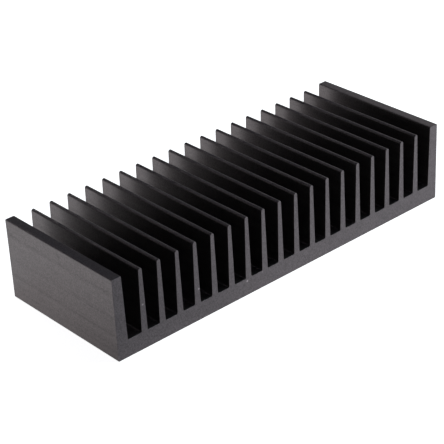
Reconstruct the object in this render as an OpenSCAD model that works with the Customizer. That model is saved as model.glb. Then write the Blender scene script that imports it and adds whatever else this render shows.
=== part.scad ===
// Extruded aluminium heat sink: a thick flat base, an upright wall at each end, and a row of
// tapered cooling fins between the walls. All of it is one section, extruded and sawn to length.
// +X runs across the fins, +Y along the extrusion, +Z from the mounting face to the fin tips.
// The origin is the centre of the mounting face.

/* [Body] */
// Width across the fins, over the outer faces of the end walls
body_w = 200; // [60:1:400]
// Sawn length, along the fins
body_l = 75; // [20:1:300]
// Height from the mounting face to the tops of the end walls
body_h = 40; // [25:0.5:80]
// Thickness of the base under the gaps
base_t = 8.6; // [4:0.1:14]

/* [End walls] */
// Thickness of an end wall at its flat top
wall_top_t = 5; // [3:0.1:5.5]
// Thickness of an end wall where it meets the base
wall_root_t = 5.8; // [5.5:0.1:9]

/* [Fins] */
// How far the fin tips stop short of the tops of the end walls
fin_drop = 0.6; // [0:0.1:3]
// Distance from the middle of one fin to the middle of the next
fin_pitch = 10; // [8:0.1:20]
// Thickness that a fin's flanks come in to at its top
fin_top_t = 1.9; // [1:0.1:3]
// Thickness of a fin where it meets the base
fin_root_t = 3.3; // [3:0.1:5]

/* [Edges] */
// Radius of the fillet between a gap's floor and its sides
floor_r = 0.8; // [0.3:0.1:1.2]
// Flat left along the top of a fin, between its two round corners
tip_flat = 0.1; // [0.05:0.05:0.5]
// Radius on the long corners of the base and the end walls
corner_r = 0.5; // [0.1:0.1:1]

/* [Hidden] */
$fn = 48;

// Height of the fin tips over the mounting face
fin_h = body_h - fin_drop;
// Lean of a fin's flank and of an end wall's inner face from upright
fin_lean = atan2((fin_root_t - fin_top_t) / 2, fin_h - base_t);
wall_lean = atan2(wall_root_t - wall_top_t, body_h - base_t);

// A fin's top corners are as round as the flat between them allows
tip_r = (fin_top_t - tip_flat) / 2 * tan((90 + fin_lean) / 2);

// As many fins as fit at the pitch, with the two outer gaps at least as wide as the others
fin_gap = fin_pitch - fin_root_t;
fin_room = body_w - 2 * wall_root_t - 2 * fin_gap - fin_root_t;
fin_count = floor(fin_room / fin_pitch) + 1;

// What lies between a corner and the arc that rounds it. One side of the corner runs along +X,
// and the other stands at the given angle to it.
module corner_web(angle, r) {
    reach = r / tan(angle / 2);
    difference() {
        polygon([[0, 0], [reach, 0], [reach, r], [reach * cos(angle), reach * sin(angle)]]);
        translate([reach, r])
            circle(r = r);
    }
}

// Fillet from the floor of a gap up a face that leans back from it
module foot_fillet(lean) {
    corner_web(90 + lean, floor_r);
}

// What a rounded top corner takes off, at the top of a face that leans back in the same way
module top_round(lean, r) {
    rotate(180)
        corner_web(90 + lean, r);
}

// One fin, seen end on: flanks that draw in to a round top, and a fillet at each foot
module fin_section() {
    foot_x = fin_root_t / 2;
    head_x = fin_top_t / 2;
    difference() {
        polygon([[-foot_x, base_t], [foot_x, base_t], [head_x, fin_h], [-head_x, fin_h]]);
        for (side = [0, 1])
            mirror([side, 0])
                translate([head_x, fin_h])
                    top_round(fin_lean, tip_r);
    }
    for (side = [0, 1])
        mirror([side, 0])
            translate([foot_x, base_t])
                foot_fillet(fin_lean);
}

// The end wall on the -X side, seen end on: an upright outer face and a leaning inner one
module wall_section() {
    outer_x = -body_w / 2;
    foot_x = outer_x + wall_root_t;
    head_x = outer_x + wall_top_t;
    difference() {
        polygon([[outer_x, base_t], [foot_x, base_t], [head_x, body_h], [outer_x, body_h]]);
        translate([head_x, body_h])
            top_round(wall_lean, corner_r);
        mirror([1, 0])
            translate([-outer_x, body_h])
                top_round(0, corner_r);
    }
    translate([foot_x, base_t])
        foot_fillet(wall_lean);
}

// The base, seen end on, with its two lower corners rounded
module base_section() {
    difference() {
        translate([-body_w / 2, 0])
            square([body_w, base_t]);
        for (side = [0, 1])
            mirror([side, 0])
                translate([-body_w / 2, 0])
                    corner_web(90, corner_r);
    }
}

// The whole section, with the row of fins centred between the walls
module section() {
    base_section();
    for (side = [0, 1])
        mirror([side, 0])
            wall_section();
    for (i = [0 : fin_count - 1])
        translate([(i - (fin_count - 1) / 2) * fin_pitch, 0])
            fin_section();
}

// The section swept along the sawn length
module heat_sink() {
    color("#2e2e31")
        translate([0, body_l / 2, 0])
            rotate([90, 0, 0])
                linear_extrude(height = body_l)
                    section();
}

heat_sink();
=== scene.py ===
"""Dresses a packed extruded heat sink: one bar of black anodised aluminium, sawn to length.

The bar is drawn again over its CAD node with finer rounds, broken saw edges and two finishes:
the long faces as the die left them, and the two sawn ends.
"""

import logging
import math
from collections.abc import Iterator, Mapping
from dataclasses import dataclass, field
from enum import Enum

import bmesh
import bpy
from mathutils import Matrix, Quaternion, Vector


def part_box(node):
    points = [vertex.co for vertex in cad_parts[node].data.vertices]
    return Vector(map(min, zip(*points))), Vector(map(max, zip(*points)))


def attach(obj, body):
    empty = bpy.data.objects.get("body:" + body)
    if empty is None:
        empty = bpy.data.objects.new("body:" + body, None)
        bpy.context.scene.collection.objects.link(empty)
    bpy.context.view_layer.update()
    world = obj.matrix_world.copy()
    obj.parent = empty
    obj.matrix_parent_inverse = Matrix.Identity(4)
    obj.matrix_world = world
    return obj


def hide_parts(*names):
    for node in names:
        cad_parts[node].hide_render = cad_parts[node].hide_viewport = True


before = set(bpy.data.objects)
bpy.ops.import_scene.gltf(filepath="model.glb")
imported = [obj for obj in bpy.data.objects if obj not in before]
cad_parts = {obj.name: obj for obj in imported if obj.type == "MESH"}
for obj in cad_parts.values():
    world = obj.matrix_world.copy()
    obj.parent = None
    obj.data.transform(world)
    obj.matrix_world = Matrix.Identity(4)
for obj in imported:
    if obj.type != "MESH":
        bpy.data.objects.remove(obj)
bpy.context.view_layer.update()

MM = 0.001
NODE = "heat_sink"
LOG = logging.getLogger("heat_sink")

# How far a face's normal leans along the bar where the face is a flat end, and where it takes the
# end's finish. The second is lower, so that the outer half of the broken edge takes it too.
FLAT_END = 0.9
END_FINISH = 0.5

Colour = tuple[float, float, float]


def grey(level: float) -> tuple[float, float, float, float]:
    """A grey, as colour sockets take it."""
    return (level, level, level, 1.0)


# ---------------------------------------------------------------- shader arithmetic


class Shade:
    """A value that varies over a surface. Arithmetic on it adds the Math nodes it takes."""

    def __init__(self, tree: "ShaderTree", socket: bpy.types.NodeSocket) -> None:
        """Wraps an output socket of a node tree.

        Args:
            tree: The tree that the socket belongs to.
            socket: The output that carries the value.
        """
        self.tree = tree
        self.socket = socket

    def _math(self, operation: str, *operands: "Shade | float") -> "Shade":
        """Adds one Math node.

        Args:
            operation: The Math node's operation.
            operands: Its inputs, in order.

        Returns:
            The node's result.
        """
        settings = {"operation": operation}
        return self.tree.result("ShaderNodeMath", settings, dict(enumerate(operands)))

    def __add__(self, other: "Shade | float") -> "Shade":
        """Sum."""
        return self._math("ADD", self, other)

    def __radd__(self, other: float) -> "Shade":
        """Sum with a number on the left."""
        return self._math("ADD", other, self)

    def __sub__(self, other: "Shade | float") -> "Shade":
        """Difference."""
        return self._math("SUBTRACT", self, other)

    def __rsub__(self, other: float) -> "Shade":
        """Difference from a number on the left."""
        return self._math("SUBTRACT", other, self)

    def __mul__(self, other: "Shade | float") -> "Shade":
        """Product."""
        return self._math("MULTIPLY", self, other)

    def __rmul__(self, other: float) -> "Shade":
        """Product with a number on the left."""
        return self._math("MULTIPLY", other, self)

    def __truediv__(self, other: "Shade | float") -> "Shade":
        """Quotient."""
        return self._math("DIVIDE", self, other)

    def __rtruediv__(self, other: float) -> "Shade":
        """Quotient with a number on top."""
        return self._math("DIVIDE", other, self)

    def bell(self) -> "Shade":
        """One where this is nought, and less the further it is from nought."""
        return self._math("EXPONENT", self * self * -1.0)

    def lower_of(self, other: "Shade | float") -> "Shade":
        """The lower of this and another value."""
        return self._math("MINIMUM", self, other)

    def upper_of(self, other: "Shade | float") -> "Shade":
        """The higher of this and another value."""
        return self._math("MAXIMUM", self, other)


class ShaderTree:
    """A node tree that is filled in from Python expressions."""

    def __init__(self, tree: bpy.types.NodeTree) -> None:
        """Takes over a tree and empties it.

        Args:
            tree: The material's or the world's node tree.
        """
        self.tree = tree
        self.tree.nodes.clear()

    def node(
        self,
        kind: str,
        settings: Mapping[str, object],
        sockets: Mapping[str | int, object],
    ) -> bpy.types.Node:
        """Adds a node.

        Args:
            kind: The node's Blender type.
            settings: Its own properties, set before its sockets.
            sockets: Values, or shades to link, by the name or number of the input.

        Returns:
            The node.
        """
        made = self.tree.nodes.new(kind)
        for name, value in settings.items():
            setattr(made, name, value)
        for key, value in sockets.items():
            if isinstance(value, Shade):
                self.tree.links.new(value.socket, made.inputs[key])
            else:
                made.inputs[key].default_value = value
        return made

    def result(
        self,
        kind: str,
        settings: Mapping[str, object],
        sockets: Mapping[str | int, object],
        output: str | int = 0,
    ) -> Shade:
        """Adds a node and goes on from one of its outputs.

        Args:
            kind: The node's Blender type.
            settings: Its own properties, set before its sockets.
            sockets: Values, or shades to link, by the name or number of the input.
            output: The name or number of the output.

        Returns:
            That output.
        """
        return Shade(self, self.node(kind, settings, sockets).outputs[output])

    def place(self, x: float, y: float | None = None, z: float | None = None) -> Shade:
        """Where on the bar the surface is, in mm, with a factor on each axis.

        Args:
            x: Factor across the bar, and on all axes where it stands alone.
            y: Factor along the bar.
            z: Factor upwards.

        Returns:
            The place.
        """
        factors = (x, x, x) if y is None or z is None else (x, y, z)
        scale = tuple(factor / MM for factor in factors)
        on_bar = self.result("ShaderNodeTexCoord", {}, {}, "Object")
        return self.result("ShaderNodeMapping", {}, {"Vector": on_bar, "Scale": scale})

    def axis(self, vector: Shade, name: str) -> Shade:
        """One of a vector's parts, X, Y or Z."""
        return self.result("ShaderNodeSeparateXYZ", {}, {0: vector}, name)

    def distance(self, vector: Shade, point: tuple[float, float, float]) -> Shade:
        """How far a place is from a point."""
        settings = {"operation": "DISTANCE"}
        return self.result("ShaderNodeVectorMath", settings, {0: vector, 1: point}, "Value")

    def swing(self, vector: Shade, detail: float) -> Shade:
        """Noise about one unit across, which swings either side of nought.

        Args:
            vector: Where the noise is read.
            detail: How many finer layers it has.

        Returns:
            The noise, from -0.5 to 0.5.
        """
        settings = {"noise_dimensions": "3D"}
        sockets = {"Vector": vector, "Scale": 1.0, "Detail": detail}
        return self.result("ShaderNodeTexNoise", settings, sockets, "Fac") - 0.5

    def blend(self, factor: Shade, low: object, high: object) -> Shade:
        """Mixes two colours.

        Args:
            factor: How much of the second.
            low: The first colour.
            high: The second colour.

        Returns:
            The mixed colour.
        """
        sockets = {0: factor, 6: low, 7: high}
        return self.result("ShaderNodeMix", {"data_type": "RGBA"}, sockets, 2)

    def tint(self, colour: Colour, amount: Shade) -> Shade:
        """A colour made stronger or weaker all over by an amount.

        Args:
            colour: The colour at an amount of 1.
            amount: The factor on it.

        Returns:
            The colour.
        """
        settings = {"operation": "SCALE"}
        return self.result("ShaderNodeVectorMath", settings, {0: colour, "Scale": amount})

    def ray(self, kind: str) -> Shade:
        """One for the rays of a kind, as Light Path names them, and nought for all others."""
        return self.result("ShaderNodeLightPath", {}, {}, kind)


# ---------------------------------------------------------------- finishes


@dataclass(frozen=True)
class DieLine:
    """A dull or a bright line that the die drew along the upright faces. Lengths are in mm."""

    height: float
    half_width: float
    change: float

    def mark(self, height: Shade) -> Shade:
        """How much the line changes the tone of the face.

        Args:
            height: Height over the mounting face.

        Returns:
            The change, as a part of the tone.
        """
        return ((height - self.height) / self.half_width).bell() * self.change


@dataclass(frozen=True)
class Spot:
    """A small round mark on the surface: a nick down to bare metal, or a smudge. In mm."""

    x: float
    y: float
    z: float
    radius: float
    change: float

    def mark(self, tree: ShaderTree, place: Shade) -> Shade:
        """How much the spot changes the tone.

        Args:
            tree: The tree to work in.
            place: Where on the bar the surface is.

        Returns:
            The change, as a part of the tone.
        """
        return (tree.distance(place, (self.x, self.y, self.z)) / self.radius).bell() * self.change


@dataclass(frozen=True)
class Oxide:
    """Black anodising over aluminium, which both kinds of face have. Lengths are in mm."""

    name: str
    tone: Colour
    roughness: float
    grain: float
    grain_size: float
    patches: float = 0.16
    patch_size: float = 9.0
    tooling_tone: float = 0.4
    tooling_gloss: float = 0.08
    tooling_depth: float = 0.01
    spots: tuple[Spot, ...] = ()

    def dress(self) -> bpy.types.Material:
        """Makes the material.

        Returns:
            The material, ready for a mesh.
        """
        material = bpy.data.materials.new(self.name)
        material.use_nodes = True
        tree = ShaderTree(material.node_tree)
        tooling = self.tooling(tree)
        amount = self.evenness(tree) + tooling * self.tooling_tone
        relief = {"Strength": 1.0, "Distance": self.tooling_depth * MM, "Height": tooling}
        sockets = {
            "Base Color": tree.tint(self.tone, amount),
            "Metallic": 1.0,
            "Roughness": self.roughness + tooling * self.tooling_gloss,
            "Normal": tree.result("ShaderNodeBump", {}, relief),
        }
        shader = tree.result("ShaderNodeBsdfPrincipled", {}, sockets)
        tree.node("ShaderNodeOutputMaterial", {}, {"Surface": shader})
        return material

    def evenness(self, tree: ShaderTree) -> Shade:
        """How even the oxide is: a fine grain, soft patches and the spots.

        Args:
            tree: The tree to work in.

        Returns:
            A factor on the tone.
        """
        place = tree.place(1.0)
        grain = tree.swing(tree.place(1 / self.grain_size), detail=1.0)
        patches = tree.swing(tree.place(1 / self.patch_size), detail=3.0)
        amount = 1.0 + grain * self.grain + patches * self.patches
        for spot in self.spots:
            amount = amount + spot.mark(tree, place)
        return amount

    def tooling(self, tree: ShaderTree) -> Shade:
        """The marks of the tool that made the face, about nought.

        Args:
            tree: The tree to work in.

        Returns:
            The marks.
        """
        raise NotImplementedError


@dataclass(frozen=True)
class DrawnOxide(Oxide):
    """The long faces, with the lines that the die drew along them.

    The fine lines have a pitch and a length. The die's own lines come and go by the fading, about
    so many times in each mm across the bar and along it.
    """

    line_pitch: float = 0.45
    line_length: float = 50.0
    fading: float = 2.4
    fades_across: float = 0.3
    fades_along: float = 0.14
    lines: tuple[DieLine, ...] = ()

    def tooling(self, tree: ShaderTree) -> Shade:
        """Fine lines along the bar."""
        across, along = 1 / self.line_pitch, 1 / self.line_length
        return tree.swing(tree.place(across, along, across), detail=2.0)

    def evenness(self, tree: ShaderTree) -> Shade:
        """The same, with the die's own lines, which come and go along the bar.

        Args:
            tree: The tree to work in.

        Returns:
            A factor on the tone.
        """
        amount = super().evenness(tree)
        height = tree.axis(tree.place(1.0), "Z")
        where = tree.place(self.fades_across, self.fades_along, self.fades_across)
        strength = 1.0 + tree.swing(where, detail=1.0) * self.fading
        for line in self.lines:
            amount = amount + line.mark(height) * strength
        return amount


@dataclass(frozen=True)
class SawnOxide(Oxide):
    """The sawn ends, with the blade's marks across them.

    The blade's middle stands off the bar. The marks fray by a finer roughness, which changes
    about so many times in each mm.
    """

    blade_x: float = 260.0
    blade_z: float = 150.0
    mark_pitch: float = 0.7
    fraying: float = 0.7
    frays_per_mm: float = 1.6

    def tooling(self, tree: ShaderTree) -> Shade:
        """Marks along arcs round the blade's middle, frayed by a finer roughness.

        Args:
            tree: The tree to work in.

        Returns:
            The marks.
        """
        flatten = {0: tree.place(1.0), 1: (1, 0, 1)}
        flat = tree.result("ShaderNodeVectorMath", {"operation": "MULTIPLY"}, flatten)
        radius = tree.distance(flat, (self.blade_x, 0.0, self.blade_z)) / self.mark_pitch
        arcs = tree.swing(tree.result("ShaderNodeCombineXYZ", {}, {"X": radius}), detail=2.0)
        rough = tree.swing(tree.place(self.frays_per_mm), detail=2.0)
        return arcs + rough * self.fraying


DRAWN_FACES = DrawnOxide(
    name="drawn black oxide",
    tone=(0.134, 0.118, 0.119),
    roughness=0.38,
    grain=1.0,
    grain_size=0.6,
    lines=(
        DieLine(height=32.8, half_width=0.9, change=-0.12),
        DieLine(height=21.3, half_width=0.9, change=-0.09),
        DieLine(height=12.2, half_width=0.7, change=-0.13),
        DieLine(height=4.4, half_width=0.6, change=-0.06),
        DieLine(height=30.0, half_width=1.0, change=0.06),
        DieLine(height=10.2, half_width=0.8, change=0.06),
    ),
    spots=(
        Spot(x=-100.0, y=0.0, z=36.8, radius=1.2, change=-0.22),
        Spot(x=-100.0, y=33.8, z=33.6, radius=1.2, change=-0.18),
    ),
)
SAWN_ENDS = SawnOxide(
    name="sawn black oxide",
    tone=(0.125, 0.111, 0.118),
    roughness=0.38,
    grain=1.0,
    grain_size=0.6,
    spots=(
        Spot(x=-85.0, y=-37.5, z=21.8, radius=0.35, change=3.0),
        Spot(x=-54.1, y=-37.5, z=15.7, radius=0.35, change=3.0),
        Spot(x=-26.0, y=-37.5, z=7.3, radius=0.4, change=3.0),
        Spot(x=-16.7, y=-37.5, z=8.0, radius=0.3, change=1.0),
    ),
)


# ---------------------------------------------------------------- the bar


class Corner(Enum):
    """The kinds of corner on the section, each rounded in its own way."""

    OUTER = "outer"
    WALL_HEAD = "wall head"
    FIN_HEAD = "fin head"
    WALL_FOOT = "wall foot"
    FIN_FOOT = "fin foot"


@dataclass(frozen=True)
class Section:
    """The section that the die gives the bar, in millimetres, standing on its mounting face."""

    width: float
    height: float
    base_thickness: float = 8.6
    wall_top: float = 5.0
    wall_root: float = 5.8
    fin_drop: float = 0.6
    fin_pitch: float = 10.0
    fin_top: float = 1.9
    fin_root: float = 3.3
    floor_radius: float = 0.8
    tip_flat: float = 0.1
    corner_radius: float = 0.5

    @property
    def fin_height(self) -> float:
        """Height of the fin tips over the mounting face."""
        return self.height - self.fin_drop

    @property
    def fin_lean(self) -> float:
        """Lean of a fin's flank from upright, as an angle."""
        return math.atan2((self.fin_root - self.fin_top) / 2, self.fin_height - self.base_thickness)

    @property
    def wall_lean(self) -> float:
        """Lean of an end wall's inner face from upright, as an angle."""
        return math.atan2(self.wall_root - self.wall_top, self.height - self.base_thickness)

    @property
    def fin_centres(self) -> list[float]:
        """As many fins as fit at the pitch, with wider gaps beside the walls where it is odd.

        Returns:
            Where the fins stand across the bar, from -X to +X.
        """
        gap = self.fin_pitch - self.fin_root
        room = self.width - 2 * self.wall_root - 2 * gap - self.fin_root
        count = math.floor(room / self.fin_pitch) + 1
        return [(i - (count - 1) / 2) * self.fin_pitch for i in range(count)]

    def reach(self, corner: Corner) -> float:
        """How far from a corner its rounding starts.

        Args:
            corner: The kind of corner.

        Returns:
            The distance along either side of the corner.
        """
        quarter = math.pi / 2
        return {
            Corner.OUTER: self.corner_radius,
            Corner.WALL_HEAD: self.corner_radius / math.tan((quarter + self.wall_lean) / 2),
            Corner.FIN_HEAD: (self.fin_top - self.tip_flat) / 2,
            Corner.WALL_FOOT: self.floor_radius / math.tan((quarter + self.wall_lean) / 2),
            Corner.FIN_FOOT: self.floor_radius / math.tan((quarter + self.fin_lean) / 2),
        }[corner]

    def corners(self) -> Iterator[tuple[float, float, Corner]]:
        """The section's corners in order, round from its lower left.

        Returns:
            Each corner's place across the bar, its height and its kind.
        """
        side = self.width / 2
        yield -side, 0, Corner.OUTER
        yield side, 0, Corner.OUTER
        yield side, self.height, Corner.OUTER
        yield side - self.wall_top, self.height, Corner.WALL_HEAD
        yield side - self.wall_root, self.base_thickness, Corner.WALL_FOOT
        for centre in reversed(self.fin_centres):
            yield centre + self.fin_root / 2, self.base_thickness, Corner.FIN_FOOT
            yield centre + self.fin_top / 2, self.fin_height, Corner.FIN_HEAD
            yield centre - self.fin_top / 2, self.fin_height, Corner.FIN_HEAD
            yield centre - self.fin_root / 2, self.base_thickness, Corner.FIN_FOOT
        yield self.wall_root - side, self.base_thickness, Corner.WALL_FOOT
        yield self.wall_top - side, self.height, Corner.WALL_HEAD
        yield -side, self.height, Corner.OUTER


@dataclass
class HeatSink:
    """The whole bar: the section, drawn along Y and sawn at both ends."""

    section: Section
    length: float
    long_faces: Oxide = DRAWN_FACES
    sawn_ends: Oxide = SAWN_ENDS
    edge_break: float = 0.12
    round_steps: int = 8
    mesh: bmesh.types.BMesh = field(default_factory=bmesh.new)

    def build(self) -> bpy.types.Object:
        """Builds the bar and dresses it.

        Returns:
            The finished piece.
        """
        corners = self.draw_section()
        self.round_corners(corners)
        self.draw_through()
        self.break_sawn_edges()
        return self.finish_piece()

    def draw_section(self) -> dict[Corner, list[bmesh.types.BMVert]]:
        """Draws the outline at the front end, one corner after another, and fills it.

        Returns:
            The outline's vertices, by kind of corner.
        """
        front = -self.length / 2
        corners: dict[Corner, list[bmesh.types.BMVert]] = {kind: [] for kind in Corner}
        pen = None
        for x, z, kind in self.section.corners():
            place = Vector((x, front, z)) * MM
            if pen is None:
                pen = bmesh.ops.create_vert(self.mesh, co=place)["vert"][0]
            else:
                pen = bmesh.ops.extrude_vert_indiv(self.mesh, verts=[pen])["verts"][0]
                pen.co = place
            corners[kind].append(pen)
        self.mesh.verts.ensure_lookup_table()
        bmesh.ops.contextual_create(self.mesh, geom=[self.mesh.verts[0], pen])
        bmesh.ops.contextual_create(self.mesh, geom=list(self.mesh.edges))
        return corners

    def round_corners(self, corners: Mapping[Corner, list[bmesh.types.BMVert]]) -> None:
        """Rounds every corner of the section.

        Args:
            corners: The outline's vertices, by kind of corner.
        """
        for kind, verts in corners.items():
            bmesh.ops.bevel(
                self.mesh,
                geom=verts,
                offset=self.section.reach(kind) * MM,
                offset_type="OFFSET",
                segments=self.round_steps,
                profile=0.5,
                affect="VERTICES",
                material=-1,
            )

    def draw_through(self) -> None:
        """Draws the section along the bar."""
        made = bmesh.ops.extrude_face_region(self.mesh, geom=list(self.mesh.faces))
        verts = [g for g in made["geom"] if isinstance(g, bmesh.types.BMVert)]
        bmesh.ops.translate(self.mesh, verts=verts, vec=(0, self.length * MM, 0))
        bmesh.ops.recalc_face_normals(self.mesh, faces=list(self.mesh.faces))

    def break_sawn_edges(self) -> None:
        """Breaks the sharp edges that the saw left round both ends."""
        ends = [f for f in self.mesh.faces if abs(f.normal.y) > FLAT_END]
        edges = {edge for face in ends for edge in face.edges}
        bmesh.ops.bevel(
            self.mesh,
            geom=list(edges),
            offset=self.edge_break * MM,
            offset_type="OFFSET",
            segments=2,
            profile=0.5,
            affect="EDGES",
            material=-1,
        )

    def finish_piece(self) -> bpy.types.Object:
        """Gives each face its finish and hands the mesh over to an object.

        Returns:
            The object, which stands for the CAD node.
        """
        for face in self.mesh.faces:
            face.material_index = int(abs(face.normal.y) > END_FINISH)
            face.smooth = True
        data = bpy.data.meshes.new("heat_sink_bar")
        self.mesh.to_mesh(data)
        self.mesh.free()
        data.materials.append(self.long_faces.dress())
        data.materials.append(self.sawn_ends.dress())
        piece = bpy.data.objects.new("heat_sink_bar", data)
        bpy.context.scene.collection.objects.link(piece)
        shading = piece.modifiers.new("face weighted shading", "WEIGHTED_NORMAL")
        shading.mode = "FACE_AREA"
        shading.weight = 100
        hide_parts(NODE)
        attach(piece, "root")
        return piece


# ---------------------------------------------------------------- the studio


@dataclass(frozen=True)
class Softbox:
    """A soft square light that faces the bar. Places are in metres."""

    name: str
    at: tuple[float, float, float]
    size: float
    power: float
    colour: Colour = (1.0, 1.0, 1.0)

    def hang(self, aim: Vector) -> bpy.types.Object:
        """Hangs the light.

        Args:
            aim: The point it faces.

        Returns:
            The light.
        """
        data = bpy.data.lights.new(self.name, "AREA")
        data.shape = "SQUARE"
        data.size = self.size
        data.energy = self.power
        data.color = self.colour
        lamp = bpy.data.objects.new(self.name, data)
        lamp.location = self.at
        lamp.rotation_euler = (aim - lamp.location).to_track_quat("-Z", "Y").to_euler()
        lamp.visible_camera = False
        bpy.context.scene.collection.objects.link(lamp)
        return lamp


@dataclass(frozen=True)
class Studio:
    """A pale floor, a plain surround and soft lights. Sizes and places are in metres.

    Paint, seen, mirrored, shadow_depth and overhead are levels, where 1 is white. The shadow is a
    darker stretch of floor by the near corner, which only reflections show. The backdrop is pale
    up to its foot and has faded out at its head, both as sines of the angle over the horizon.
    """

    floor_size: float = 12.0
    floor_paint: float = 0.8
    floor_seen: float = 0.95
    mirrored: float = 0.75
    shadow_at: tuple[float, float, float] = (-0.13, -0.12, 0.0)
    shadow_radius: float = 0.09
    shadow_depth: float = 1.0
    overhead: Colour = (0.002, 0.002, 0.02)
    backdrop_foot: float = 0.06
    backdrop_head: float = 0.18
    softboxes: tuple[Softbox, ...] = (
        Softbox("rear softbox", (0.0, 0.88, 0.207), 0.45, 3.2),
        Softbox("back corner fill", (0.638, 0.369, 0.536), 0.45, 0.38),
        Softbox("front fill", (0.39, -0.225, 0.799), 0.45, 3.2, (0.8, 0.95, 1.0)),
    )
    lit_point: tuple[float, float, float] = (0.0, 0.0, 0.02)

    def build(self) -> None:
        """Lays the floor, sets the surround and hangs the lights."""
        self.lay_floor()
        self.set_surround()
        for softbox in self.softboxes:
            softbox.hang(Vector(self.lit_point))

    def lay_floor(self) -> bpy.types.Object:
        """Lays the floor under the mounting face.

        Returns:
            The floor.
        """
        mesh = bmesh.new()
        bmesh.ops.create_grid(mesh, x_segments=1, y_segments=1, size=self.floor_size / 2)
        data = bpy.data.meshes.new("studio_floor")
        mesh.to_mesh(data)
        mesh.free()
        data.materials.append(self.paint_floor())
        floor = bpy.data.objects.new("studio_floor", data)
        bpy.context.scene.collection.objects.link(floor)
        return floor

    def paint_floor(self) -> bpy.types.Material:
        """Makes the floor's material: pale paint that also glows, so that it stays white.

        Returns:
            The material.
        """
        material = bpy.data.materials.new("pale floor")
        material.use_nodes = True
        tree = ShaderTree(material.node_tree)
        reflected = tree.ray("Is Glossy Ray").upper_of(tree.ray("Is Transmission Ray"))
        from_shadow = tree.distance(tree.place(MM), self.shadow_at) / self.shadow_radius
        bright = (1.0 - from_shadow.bell() * self.shadow_depth) * self.mirrored
        glow = (tree.ray("Is Camera Ray") * self.floor_seen).upper_of(reflected * bright)
        colour = {"Color": grey(self.floor_paint)}
        paint = tree.result("ShaderNodeBsdfDiffuse", {}, colour)
        light = tree.result("ShaderNodeEmission", {}, {"Color": glow, "Strength": 1.0})
        both = tree.result("ShaderNodeAddShader", {}, {0: paint, 1: light})
        tree.node("ShaderNodeOutputMaterial", {}, {"Surface": both})
        return material

    def set_surround(self) -> None:
        """Sets the surround: white where it is seen, and a pale backdrop under a dim ceiling."""
        world = bpy.data.worlds.new("studio surround")
        bpy.context.scene.world = world
        world.use_nodes = True
        tree = ShaderTree(world.node_tree)
        height = tree.axis(tree.result("ShaderNodeTexCoord", {}, {}, "Generated"), "Z")
        fade = (self.backdrop_head - height) / (self.backdrop_head - self.backdrop_foot)
        backdrop = fade.upper_of(0.0).lower_of(1.0)
        around = tree.blend(backdrop, (*self.overhead, 1.0), grey(self.mirrored))
        colour = tree.blend(tree.ray("Is Camera Ray"), around, grey(1.0))
        light = tree.result("ShaderNodeBackground", {}, {"Color": colour, "Strength": 1.0})
        tree.node("ShaderNodeOutputWorld", {}, {"Surface": light})


@dataclass(frozen=True)
class Camera:
    """The camera, looking down on a front corner of the bar.

    The angles are in degrees, the azimuth from straight in front towards the left. The distance
    and the aim are in metres, the lens and the sensor in mm.
    """

    azimuth: float = 40.631
    elevation: float = 29.113
    roll: float = -2.946
    distance: float = 0.73276
    aim: tuple[float, float, float] = (-0.005979, 0.001005, 0.014378)
    lens: float = 127.6
    sensor: float = 36.0
    nearest: float = 0.01

    def set_up(self) -> bpy.types.Object:
        """Makes the camera and hands it to the scene.

        Returns:
            The camera.
        """
        turn, lift = math.radians(self.azimuth), math.radians(self.elevation)
        back = Vector(
            (-math.sin(turn) * math.cos(lift), -math.cos(turn) * math.cos(lift), math.sin(lift))
        )
        data = bpy.data.cameras.new("camera")
        data.lens = self.lens
        data.sensor_width = self.sensor
        data.clip_start = self.nearest
        camera = bpy.data.objects.new("camera", data)
        camera.location = Vector(self.aim) + back * self.distance
        camera.rotation_mode = "QUATERNION"
        level = (-back).to_track_quat("-Z", "Y")
        camera.rotation_quaternion = level @ Quaternion((0, 0, 1), math.radians(self.roll))
        bpy.context.scene.collection.objects.link(camera)
        bpy.context.scene.camera = camera
        return camera


# ---------------------------------------------------------------- putting it together


def main() -> None:
    """Builds the bar, the studio and the camera."""
    logging.basicConfig(level=logging.INFO, format="%(name)s: %(message)s")
    low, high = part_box(NODE)
    width, length, height = (high - low) / MM
    heat_sink = HeatSink(section=Section(width=width, height=height), length=length)
    piece = heat_sink.build()
    LOG.info("%s: %d faces", piece.name, len(piece.data.polygons))
    Studio().build()
    LOG.info("studio: floor, surround and lights")
    camera = Camera().set_up()
    LOG.info("camera: %.1f mm lens", camera.data.lens)
    bpy.context.scene.view_settings.view_transform = "Standard"


if __name__ == "__main__":
    main()
